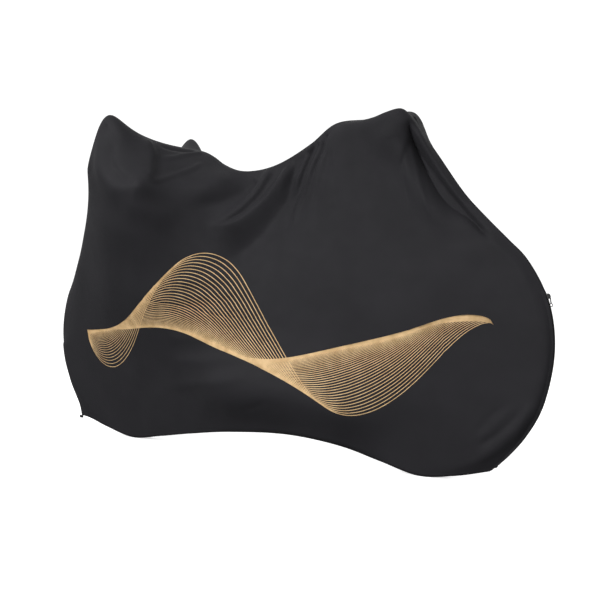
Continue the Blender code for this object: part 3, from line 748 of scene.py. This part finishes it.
def mottled_look(name, colour, roughness, scale, detail, shades):
    """A material whose shade varies over the piece. Returns it with its tree, shader and place."""
    made, tree, shader = new_look(name, colour, roughness)
    place = tree.nodes.new("ShaderNodeTexCoord").outputs["Object"]
    shade = add_blend(tree, add_noise(tree, place, scale, detail), *shades)
    fill_inputs(tree, shader, {"Base Color": shade})
    return made, tree, shader, place


def knit_look():
    """Black satin knit, with fine wales and a slightly uneven shade and sheen."""
    made, tree, shader = new_look("black_knit", KNIT_BLACK, KNIT_ROUGHNESS)
    cloth = tree.nodes.new("ShaderNodeUVMap")
    cloth.uv_map = "cloth"
    place = cloth.outputs["UV"]
    shade = add_blend(tree, add_noise(tree, place, 7.0, 3.0), *KNIT_SHADES)
    smoothest, roughest = KNIT_ROUGHNESS - ROUGHNESS_SPREAD, KNIT_ROUGHNESS + ROUGHNESS_SPREAD
    rough = add_range(tree, add_noise(tree, place, 23.0, 2.0), smoothest, roughest)
    fill_inputs(tree, shader, {
        "Base Color": shade, "Roughness": rough, "Specular IOR Level": 0.13,
        "Sheen Weight": 0.03, "Sheen Roughness": 0.5,
    })
    wales = add_wave(tree, place, "X", WALE_PITCH)
    courses = add_wave(tree, place, "Y", COURSE_PITCH)
    add_bump(tree, shader, add_product(tree, wales, courses), 0.00018, 0.5)
    return made


def tape_look():
    """Black woven tape."""
    made, tree, shader, place = mottled_look("black_tape", ZIP_BLACK, 0.85, 60.0, 2.0, TAPE_SHADES)
    add_bump(tree, shader, add_wave(tree, place, "DIAGONAL", TAPE_WEAVE), 0.00012, 0.4)
    return made


def plastic_look():
    """Satin black plastic with faint marks of wear."""
    made, tree, shader = new_look("black_plastic", ZIP_BLACK, 0.34)
    place = tree.nodes.new("ShaderNodeTexCoord").outputs["Object"]
    rough = add_range(tree, add_noise(tree, place, 300.0, 3.0), *PLASTIC_ROUGHNESS)
    fill_inputs(tree, shader, {"Roughness": rough, "Specular IOR Level": 0.5})
    return made


def thread_look():
    """Black polyester thread."""
    made, tree, shader, place = mottled_look("black_thread", THREAD_BLACK, 0.5, 200.0, 2.0, THREAD_SHADES)
    add_bump(tree, shader, add_wave(tree, place, "DIAGONAL", THREAD_TWIST), 0.00005, 0.4)
    return made


def ink_look():
    """Dull gold print that has sunk a little into the knit."""
    made, tree, shader, _ = mottled_look("gold_print", INK_GOLD, 0.6, 40.0, 3.0, INK_SHADES)
    fill_inputs(tree, shader, {"Specular IOR Level": 0.2})
    return made


def floor_look():
    """Plain pale studio floor."""
    made, tree, shader, _ = mottled_look("pale_floor", FLOOR_GREY, 0.9, 2.0, 2.0, FLOOR_SHADES)
    glow = {"Emission Color": WHITE, "Emission Strength": FLOOR_GLOW, "Specular IOR Level": 0.0}
    fill_inputs(tree, shader, glow)
    return made


# ---- Pieces ----


def add_object(name, mesh, look):
    """A piece that rides on the one body."""
    made = bpy.data.objects.new(name, mesh)
    mesh.materials.append(look)
    bpy.context.scene.collection.objects.link(made)
    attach(made, "root")
    return made


def new_mesh(name, points, quads):
    """A mesh from arrays of points and of the quads between them."""
    mesh = bpy.data.meshes.new(name)
    mesh.from_pydata(points.reshape(-1, 3).tolist(), [], quads.tolist())
    return mesh


def grid_mesh(name, points, flip):
    """An open mesh of quads over a grid of points."""
    corner = np.arange(points[..., 0].size).reshape(points.shape[:2])
    quads = np.stack([corner[:-1, :-1], corner[1:, :-1], corner[1:, 1:], corner[:-1, 1:]], axis=-1)
    quads = quads.reshape(-1, 4)
    if flip:
        quads = quads[:, ::-1]
    mesh = new_mesh(name, points, quads)
    mesh.shade_smooth()
    return mesh


def lay_out(mesh, points):
    """A UV map in metres: along the cloth and up it."""
    steps_along = np.linalg.norm(np.diff(points, axis=0), axis=-1).mean(axis=1)
    steps_up = np.linalg.norm(np.diff(points, axis=1), axis=-1).mean(axis=0)
    across = np.concatenate([[0.0], np.cumsum(steps_along)])
    upward = np.concatenate([[0.0], np.cumsum(steps_up)])
    flat = np.stack([across[:, None] + 0 * upward, upward + 0 * across[:, None]], axis=-1).reshape(-1, 2)
    corners = np.empty(len(mesh.loops), int)
    mesh.loops.foreach_get("vertex_index", corners)
    layer = mesh.uv_layers.new(name="cloth")
    layer.data.foreach_set("uv", flat[corners].ravel())


def build_panel(name, node, side, look):
    """One side panel. Returns it with its sheet: the points of its inner face and their fractions."""
    points, along, up = panel_points(side)
    placed = points.copy()
    placed[..., 1] *= side
    mesh = grid_mesh(name, placed, side > 0)
    lay_out(mesh, placed)
    made = add_object(name, mesh, look)
    solid = made.modifiers.new("thickness", "SOLIDIFY")
    solid.thickness = CLOTH
    solid.offset = 1.0
    solid.use_even_offset = False
    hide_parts(node)
    return made, (points, along, up)


def print_line(share):
    """One line of the print, from the first, 0, to the last, 1: places along and up, width."""
    run = np.linspace(0.0, 1.0, PRINT_STEPS + 1)
    along = PRINT_SPAN[0] + (PRINT_SPAN[1] - PRINT_SPAN[0]) * run
    full = np.sin(math.pi * run).clip(0.0) ** PRINT_TAPER
    turn = 2 * math.pi * (PRINT_WAVES * run + PRINT_START + PRINT_SHIFT * share)
    swing = PRINT_SWING[0] + (PRINT_SWING[1] - PRINT_SWING[0]) * share
    up = PRINT_HEIGHT[0] + (PRINT_HEIGHT[1] - PRINT_HEIGHT[0]) * run + swing * full * np.sin(turn)
    return along, up, PRINT_WIDTH * (0.5 + 0.5 * full)


def between(stations_along, stations_up, grid, along, up):
    """Places on the flat cells of a grid whose rows lie at the stations."""
    i = np.clip(np.searchsorted(stations_along, along) - 1, 0, len(stations_along) - 2)
    j = np.clip(np.searchsorted(stations_up, up) - 1, 0, len(stations_up) - 2)
    s = (along - stations_along[i]) / (stations_along[i + 1] - stations_along[i])
    t = (up - stations_up[j]) / (stations_up[j + 1] - stations_up[j])
    s, t = s[:, None], t[:, None]
    low = (1 - s) * grid[i, j] + s * grid[i + 1, j]
    high = (1 - s) * grid[i, j + 1] + s * grid[i + 1, j + 1]
    return (1 - t) * low + t * high


def build_print(name, side, sheet, look):
    """The printed lines of one side, as thin as ink, on the outer face of its panel."""
    points, along, up = sheet
    normals = outward(points)
    outer = points + CLOTH * normals
    rings = []
    for share in np.linspace(0.0, 1.0, PRINT_LINES) ** PRINT_CROWDING:
        place_along, place_up, width = print_line(share)
        middle = between(along, up, outer, place_along, place_up)
        normal = between(along, up, normals, place_along, place_up)
        run = np.gradient(middle, axis=0)
        across = np.cross(normal, run)
        across *= (width / 2 / np.linalg.norm(across, axis=-1))[:, None]
        top, bottom = middle + PRINT_PROUD * normal, middle - PRINT_SUNK * normal
        rings.append(np.stack([top + across, top - across, bottom - across, bottom + across], axis=1))
    corners = np.array(rings)
    corners[..., 1] *= side
    count = np.arange(corners[..., 0].size).reshape(corners.shape[:3])
    turned = np.roll(count, -1, axis=2)
    walls = np.stack([count[:, :-1], count[:, 1:], turned[:, 1:], turned[:, :-1]], axis=-1)
    ends = np.concatenate([count[:, 0], count[:, -1, ::-1]])
    quads = np.concatenate([walls.reshape(-1, 4), ends])
    if side > 0:
        quads = quads[:, ::-1]
    return add_object(name, new_mesh(name, corners, quads), look)


def rear_line(fractions):
    """Points of the rear seam at fractions up it, with the seam's outward direction."""
    line = seam_line(REAR_SEAM, SEAM_STEPS)
    at = np.asarray(fractions) * SEAM_STEPS
    points = np.stack([np.interp(at, np.arange(SEAM_STEPS + 1), column) for column in line.T], axis=-1)
    run = np.gradient(points, axis=0)
    out = np.stack([run[:, 2], np.zeros(len(at)), -run[:, 0]], axis=-1)
    return points, out / np.linalg.norm(out, axis=-1, keepdims=True)


def rear_length():
    """Length of the rear seam."""
    return np.linalg.norm(np.diff(seam_line(REAR_SEAM, SEAM_STEPS), axis=0), axis=1).sum()


def below_slider():
    """The fraction up the rear seam at which the teeth and tapes end, just below the slider."""
    return SLIDER_AT - (SLIDER_HALF + SEAM_GAP) / rear_length()


def closed_mesh(name, corners, faces, count):
    """A mesh of many copies of one closed shape: corners for each, faces of one."""
    starts = np.arange(count)[:, None, None] * corners.shape[1]
    return new_mesh(name, corners, (np.array(faces) + starts).reshape(-1, 4))


def bevel(piece, width, segments):
    """Rounded edges on a piece."""
    rounding = piece.modifiers.new("rounding", "BEVEL")
    rounding.width = width
    rounding.segments = segments
    return rounding


BOX_FACES = [(0, 1, 3, 2), (4, 6, 7, 5), (0, 4, 5, 1), (2, 3, 7, 6), (0, 2, 6, 4), (1, 5, 7, 3)]
BOX_CORNERS = np.array([(x, y, z) for x in (-0.5, 0.5) for y in (-0.5, 0.5) for z in (-0.5, 0.5)])


def build_teeth(name, look):
    """The zip's moulded teeth, those of one side between those of the other."""
    top = below_slider()
    count = int((top - TEETH_START) * rear_length() / (TOOTH_PITCH / 2))
    spots, outs = rear_line(np.linspace(TEETH_START, top, count + 2)[1:-1])
    ups = np.stack([-outs[:, 2], 0 * outs[:, 2], outs[:, 0]], axis=-1)
    sides = np.where(np.arange(count) % 2, 1.0, -1.0)
    local = BOX_CORNERS * np.array(TOOTH_SIZE)
    off = CHAIN_HALF + TOOTH_REACH - TOOTH_SIZE[1] / 2
    corners = spots[:, None] + local[None, :, :1] * outs[:, None] + local[None, :, 2:] * ups[:, None]
    corners[..., 1] += local[None, :, 1] + sides[:, None] * off
    made = add_object(name, closed_mesh(name, corners, BOX_FACES, count), look)
    bevel(made, TOOTH_BEVEL, 2)
    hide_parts("zip_chain")


def ring_corners(radius, wire, around, across):
    """A ring about the Y axis as rows of points, and the faces between them."""
    turn = np.linspace(0, 2 * math.pi, around, endpoint=False)[:, None]
    tilt = np.linspace(0, 2 * math.pi, across, endpoint=False)[None]
    reach = radius + wire * np.cos(tilt)
    beside = wire * np.sin(tilt) + 0 * turn
    points = np.stack([reach * np.cos(turn), beside, reach * np.sin(turn)], axis=-1)
    number = np.arange(around * across).reshape(around, across)
    ahead = np.roll(number, -1, axis=0)
    faces = np.stack([number, ahead, np.roll(ahead, -1, axis=1), np.roll(number, -1, axis=1)], axis=-1)
    return points.reshape(-1, 3), faces.reshape(-1, 4)[:, ::-1]


def build_pull(name, look):
    """The zip's pull: a flat stem that hangs from the slider's loop, and its ring."""
    stem = BOX_CORNERS * np.array(PULL_STEM)
    stem[:, 1] *= np.where(stem[:, 2] > 0, PULL_TAPER, 1.0)
    stem[:, 2] -= PULL_STEM[2] / 2
    ring, faces = ring_corners(RING_RADIUS, RING_WIRE, *RING_CELLS)
    ring[:, 2] -= PULL_STEM[2] + RING_RADIUS
    local = np.concatenate([stem, ring])
    x = local[:, 0] * math.cos(PULL_LEAN) + local[:, 2] * math.sin(PULL_LEAN)
    z = local[:, 2] * math.cos(PULL_LEAN) - local[:, 0] * math.sin(PULL_LEAN)
    (_, spot, _), (_, out, _) = rear_line([SLIDER_AT - NEARBY, SLIDER_AT, SLIDER_AT + NEARBY])
    up = np.array([-out[2], 0.0, out[0]])
    placed = spot + (x + PULL_HINGE[0])[:, None] * out + (z + PULL_HINGE[1])[:, None] * up
    placed[:, 1] += local[:, 1]
    quads = np.concatenate([BOX_FACES, faces + len(stem)])
    made = add_object(name, new_mesh(name, placed, quads), look)
    rounding = bevel(made, PULL_BEVEL, 3)
    rounding.limit_method = "ANGLE"
    rounding.angle_limit = math.radians(PULL_EDGE)
    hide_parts("zip_pull")


def build_tape(name, node, side, sheet, look):
    """One tape of the zip, from below the teeth to some way under its panel."""
    points, _, up = sheet
    rows = np.where((up > TAPE_START) & (up < below_slider()))[0]
    under = points - (SEAM_GAP + TAPE_THICK) * outward(points)
    middle, out = rear_line(up[rows])
    below = middle - (TOOTH_SIZE[0] / 2 + SEAM_GAP / 2) * out
    beside = CHAIN_HALF + SEAM_GAP
    inner = below + np.array([0.0, SEWN_GAP, 0.0])
    corner = below + np.array([0.0, beside, 0.0])
    near = middle - (TAPE_THICK / 2) * out + np.array([0.0, beside + TAPE_THICK / 2, 0.0])
    strip = np.stack([inner, corner, near, under[-1, rows], under[-2, rows], under[-3, rows]])
    strip[..., 1] *= side
    made = add_object(name, grid_mesh(name, strip, side < 0), look)
    solid = made.modifiers.new("thickness", "SOLIDIFY")
    solid.thickness = TAPE_THICK
    solid.offset = -1.0
    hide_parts(node)
    return made


def build_stitches(name, side, sheet, look):
    """The row of stitches that holds one tape to its panel."""
    points, _, up = sheet
    normals = outward(points)
    outer = points + CLOTH * normals
    row = (outer[-2] + outer[-3]) / 2
    facing = (normals[-2] + normals[-3]) / 2
    top = SLIDER_AT + 2 * SLIDER_HALF / rear_length()
    steps = np.concatenate([[0.0], np.cumsum(np.linalg.norm(np.diff(row, axis=0), axis=-1))])
    start, end = np.interp([TAPE_START, top], up, steps)
    count = int((end - start) / STITCH_PITCH)
    at = np.linspace(start, end, count)
    spots = np.stack([np.interp(at, steps, c) for c in row.T], axis=-1)
    outs = np.stack([np.interp(at, steps, c) for c in facing.T], axis=-1)
    runs = np.gradient(spots, axis=0)
    runs /= np.linalg.norm(runs, axis=-1, keepdims=True)
    across = np.cross(runs, outs)
    local = BOX_CORNERS * np.array(STITCH_SIZE)
    corners = spots[:, None] + local[None, :, :1] * runs[:, None] + local[None, :, 1:2] * across[:, None]
    corners = corners + (local[None, :, 2:] + STITCH_SIZE[2] * STITCH_RAISED) * outs[:, None]
    corners[..., 1] *= side
    faces = [face[::-1] for face in BOX_FACES] if side > 0 else BOX_FACES
    made = add_object(name, closed_mesh(name, corners, faces, count), look)
    bevel(made, STITCH_SIZE[2] * STITCH_BEVEL, 1)
    return made


def dress_nodes(names, look):
    """A look for solids that are shown as they are."""
    for name in names:
        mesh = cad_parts[name].data
        mesh.materials.clear()
        mesh.materials.append(look)


# ---- Stage ----


def build_floor():
    """The floor, which throws no light on the object."""
    bpy.ops.mesh.primitive_plane_add(size=FLOOR_SIZE)
    floor = bpy.context.object
    floor.name = "floor"
    floor.data.materials.append(floor_look())
    floor.visible_diffuse = False
    floor.visible_glossy = False


def build_backdrop():
    """A plain white surround, which gives the object no light."""
    bpy.ops.mesh.primitive_uv_sphere_add(segments=48, ring_count=24, radius=BACKDROP_RADIUS)
    made = bpy.context.object
    made.name = "backdrop"
    made.data.shade_smooth()
    look, tree, shader = new_look("white_backdrop", (0.0, 0.0, 0.0), 1.0)
    fill_inputs(tree, shader, {"Emission Color": WHITE, "Emission Strength": BACKDROP_GLOW})
    made.data.materials.append(look)
    made.visible_diffuse = False
    made.visible_glossy = False
    made.visible_shadow = False


def build_sky():
    """Soft light from all round, bright above and dark below."""
    world = bpy.data.worlds.new("studio")
    bpy.context.scene.world = world
    world.use_nodes = True
    tree = world.node_tree
    sky = tree.nodes["Background"]
    direction = tree.nodes.new("ShaderNodeTexCoord").outputs["Generated"]
    parts = add_node(tree, "ShaderNodeSeparateXYZ", {"Vector": direction})
    upward = add_range(tree, parts.outputs["Z"], 0.0, 1.0, -1.0, 1.0)
    ramp = add_node(tree, "ShaderNodeValToRGB", {"Fac": upward})
    stops = ramp.color_ramp.elements
    stops[0].position, stops[0].color = SKY[0][0], (SKY[0][1],) * 3 + (1.0,)
    stops[1].position, stops[1].color = SKY[-1][0], (SKY[-1][1],) * 3 + (1.0,)
    for height, level in SKY[1:-1]:
        stops.new(height).color = (level,) * 3 + (1.0,)
    fill_inputs(tree, sky, {"Color": ramp.outputs["Color"], "Strength": SKY_STRENGTH})


def build_lamp(name, direction, distance, size, power):
    """A soft box that shines on the object from a direction."""
    data = bpy.data.lights.new(name, "AREA")
    data.shape = "RECTANGLE"
    data.size, data.size_y = size
    data.energy = power
    lamp = bpy.data.objects.new(name, data)
    bpy.context.scene.collection.objects.link(lamp)
    toward = Vector(direction).normalized()
    lamp.location = Vector(LAMP_AIM) + toward * distance
    lamp.rotation_euler = toward.to_track_quat("Z", "Y").to_euler()
    lamp.visible_camera = False


def build_camera():
    """The photograph's view."""
    data = bpy.data.cameras.new("camera")
    data.lens = LENS
    data.sensor_width = SENSOR
    camera = bpy.data.objects.new("camera", data)
    bpy.context.scene.collection.objects.link(camera)
    camera.location = CAMERA_PLACE
    camera.rotation_euler = [math.radians(turn) for turn in CAMERA_TURN]
    bpy.context.scene.camera = camera


# ---- Build ----

knit = knit_look()
tape = tape_look()
plastic = plastic_look()
ink = ink_look()
thread = thread_look()

panels, sheets, pieces = {}, {}, {}
for word, side in SIDES.items():
    panels[word], sheets[word] = build_panel(f"knit_{word}", f"panel_{word}", side, knit)
for word, side in SIDES.items():
    pieces[word] = [
        build_print(f"print_{word}", side, sheets[word], ink),
        build_tape(f"tape_{word}", f"zip_tape_{word}", side, sheets[word], tape),
        build_stitches(f"stitches_{word}", side, sheets[word], thread),
    ]
build_teeth("zip_teeth", plastic)
build_pull("pull_and_ring", plastic)
dress_nodes(["seam_tail"], tape)
dress_nodes(["zip_slider", "zip_stop"], plastic)

build_floor()
build_backdrop()
build_sky()
for lamp in LAMPS:
    build_lamp(*lamp)
build_camera()
bpy.context.scene.view_settings.view_transform = "Standard"
